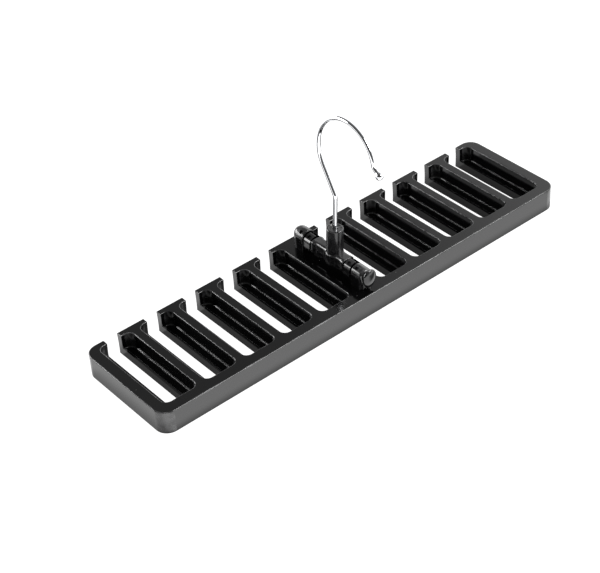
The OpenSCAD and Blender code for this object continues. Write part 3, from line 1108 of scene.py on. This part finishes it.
def softbox(name, place, aim, size, power):
    lamp = bpy.data.lights.new(name, "AREA")
    lamp.shape = "RECTANGLE"
    lamp.size, lamp.size_y = size
    lamp.energy = power
    stand = bpy.data.objects.new(name, lamp)
    bpy.context.scene.collection.objects.link(stand)
    stand.location = place
    stand.rotation_euler = (Vector(aim) - Vector(place)).to_track_quat("-Z", "Y").to_euler()
    return stand


def floor_finish(looks, light, rack):
    """Pale floor, even white to the camera. To what reflects it, the floor glows as painted light: bright beside the
    rack and towards its front, with painted shade in a belt round it and at its rear, and a painted shadow under it."""
    finish = bpy.data.materials.new("studio floor")
    finish.use_nodes = True
    tree = finish.node_tree
    shader = tree.nodes["Principled BSDF"]
    at = node(tree, "TexCoord").outputs["Object"]
    parts = node(tree, "SeparateXYZ")
    wire_up(tree, (at, parts.inputs[0]))
    corner = rack.corner_r
    past = []
    for axis, half in (("X", rack.rack_l / 2), ("Y", rack.rack_w / 2)):
        reach = maths(tree, "SUBTRACT", maths(tree, "ABSOLUTE", parts.outputs[axis]), half - corner)
        past.append(maths(tree, "MAXIMUM", reach, 0.0))
    square = maths(tree, "ADD", *(product(tree, reach, reach) for reach in past))
    away = maths(tree, "SUBTRACT", maths(tree, "SQRT", square), corner)
    # Painted shadow under the rack, then painted shade in a dim belt round it
    beside = between(tree, away, -3 * MM, -1 * MM, light.floor_painted_shadow, 1.0)
    painted_belt_shade = between(tree, away, 15 * MM, 25 * MM, 1.0, light.floor_painted_belt_shade)
    beyond = between(tree, away, 90 * MM, 140 * MM)
    painted_belt_shade = mix_grey(tree, beyond, painted_belt_shade, light.floor_beyond)
    ahead = node(tree, "VectorMath", operation="DOT_PRODUCT")
    ahead.inputs[1].default_value = (-0.61, -0.79, 0.0)
    far = node(tree, "VectorMath", operation="LENGTH")
    wire_up(tree, (at, ahead.inputs[0]), (at, far.inputs[0]))
    before = between(tree, maths(tree, "DIVIDE", ahead.outputs["Value"], far.outputs["Value"]), 0.55, 0.80)
    painted_belt_shade = mix_grey(tree, before, painted_belt_shade, 1.0)
    side = -rack.rack_w / 2
    front = between(tree, parts.outputs["Y"], side - 7 * MM, side + 2 * MM, 1.0, 0.0)
    along = between(tree, parts.outputs["X"], -rack.rack_l / 2, rack.rack_l / 2, 1.0, 0.8)
    painted_rear_shade = between(tree, away, 0.0, 9 * MM, 0.5 * light.floor_painted_rear_shade, light.floor_painted_rear_shade)
    spread = mix_grey(tree, front, painted_rear_shade, along)
    # Painted light: the floor glows in reflections, brighter at the front and dimmer at the rear
    glow = product(tree, beside, painted_belt_shade, spread)
    seen = node(tree, "LightPath").outputs["Is Camera Ray"]
    bright = mix_grey(tree, seen, glow, 1.1 / light.floor_glow)
    wire_up(tree, (bright, shader.inputs["Emission Color"]))
    shader.inputs["Base Color"].default_value = colour(looks.floor)
    shader.inputs["Roughness"].default_value = 0.9
    shader.inputs["Emission Strength"].default_value = light.floor_glow
    return finish


class TIEHANGER_OT_stage(bpy.types.Operator):
    """Lays the pale floor, sets the soft lights and places the camera"""

    bl_idname = "tie_hanger.stage"
    bl_label = "Set the stage"

    def execute(self, context):
        scene = context.scene
        looks, light = scene.tie_hanger_finishes, scene.tie_hanger_light
        deselect()
        bpy.ops.mesh.primitive_plane_add(size=12, location=(0, 0, 0))
        floor = context.object
        floor.name = floor.data.name = "studio_floor"
        floor.data.materials.append(floor_finish(looks, light, scene.tie_hanger_rack))

        world = bpy.data.worlds.new("room")
        scene.world = world
        world.use_nodes = True
        sky = world.node_tree
        ways = node(sky, "SeparateXYZ")
        wire_up(sky, (node(sky, "TexCoord").outputs["Generated"], ways.inputs[0]))
        rising = between(sky, ways.outputs["X"], 0.44, 0.80, light.sky_left, 1.0)
        dim = between(sky, ways.outputs["X"], -0.25, 0.2, light.sky_rear, 1.0)
        wire_up(sky, (product(sky, rising, dim), sky.nodes["Background"].inputs["Color"]))
        sky.nodes["Background"].inputs["Strength"].default_value = light.sky

        softbox("softbox_rear_left", (-0.92, 1.53, 0.42), (0, 0, 0.02), (1.33, 0.8), light.key)
        softbox("softbox_front_right", (0.9, -1.2, 1.25), (0, 0, 0.02), (1.0, 0.8), light.fill)

        lens = bpy.data.cameras.new("photo_camera")
        camera = bpy.data.objects.new("photo_camera", lens)
        scene.collection.objects.link(camera)
        scene.camera = camera
        lens.lens, lens.sensor_width, lens.clip_start, lens.clip_end = 97.12, 36, 0.01, 50
        lens.shift_x, lens.shift_y = 0.15 / 600, -0.1 / 600
        ahead = Vector((0.4809, 0.6229, -0.6171)).normalized()
        right = Vector((0.7619, -0.6451, -0.0574)).normalized()
        up = right.cross(ahead).normalized()
        stand = Matrix((right, up, -ahead)).transposed().to_4x4()
        stand.translation = Vector((-0.4797, -0.5888, 0.5954))
        camera.matrix_world = stand
        scene.view_settings.view_transform = "Standard"
        return {"FINISHED"}


class TIEHANGER_PT_panel(bpy.types.Panel):
    """Lists the steps that make the tie hanger"""

    bl_idname = "TIEHANGER_PT_panel"
    bl_label = "Tie Hanger"
    bl_space_type = "VIEW_3D"
    bl_region_type = "UI"
    bl_category = "Tie Hanger"

    def draw(self, context):
        for step in STEPS:
            self.layout.operator(step.bl_idname)
        for label in SETTINGS:
            box = self.layout.box()
            group = getattr(context.scene, label)
            for key in group.__annotations__:
                box.prop(group, key)


STEPS = (
    TIEHANGER_OT_finishes,
    TIEHANGER_OT_stage,
    TIEHANGER_OT_rack,
    TIEHANGER_OT_pin,
    TIEHANGER_OT_clips,
    TIEHANGER_OT_swivel_block,
    TIEHANGER_OT_hook,
    TIEHANGER_OT_washer,
)
SETTINGS = {
    "tie_hanger_rack": RackSizes,
    "tie_hanger_hinge": HingeSizes,
    "tie_hanger_hook": HookSizes,
    "tie_hanger_finishes": Finishes,
    "tie_hanger_light": StudioLight,
}


def register():
    for label, group in SETTINGS.items():
        bpy.utils.register_class(group)
        setattr(bpy.types.Scene, label, PointerProperty(type=group))
    for step in STEPS:
        bpy.utils.register_class(step)
    bpy.utils.register_class(TIEHANGER_PT_panel)


def unregister():
    bpy.utils.unregister_class(TIEHANGER_PT_panel)
    for step in reversed(STEPS):
        bpy.utils.unregister_class(step)
    for label, group in SETTINGS.items():
        delattr(bpy.types.Scene, label)
        bpy.utils.unregister_class(group)


def main():
    register()
    for step in STEPS:
        tool, call = step.bl_idname.split(".")
        getattr(getattr(bpy.ops, tool), call)()


if __name__ == "__main__":
    main()
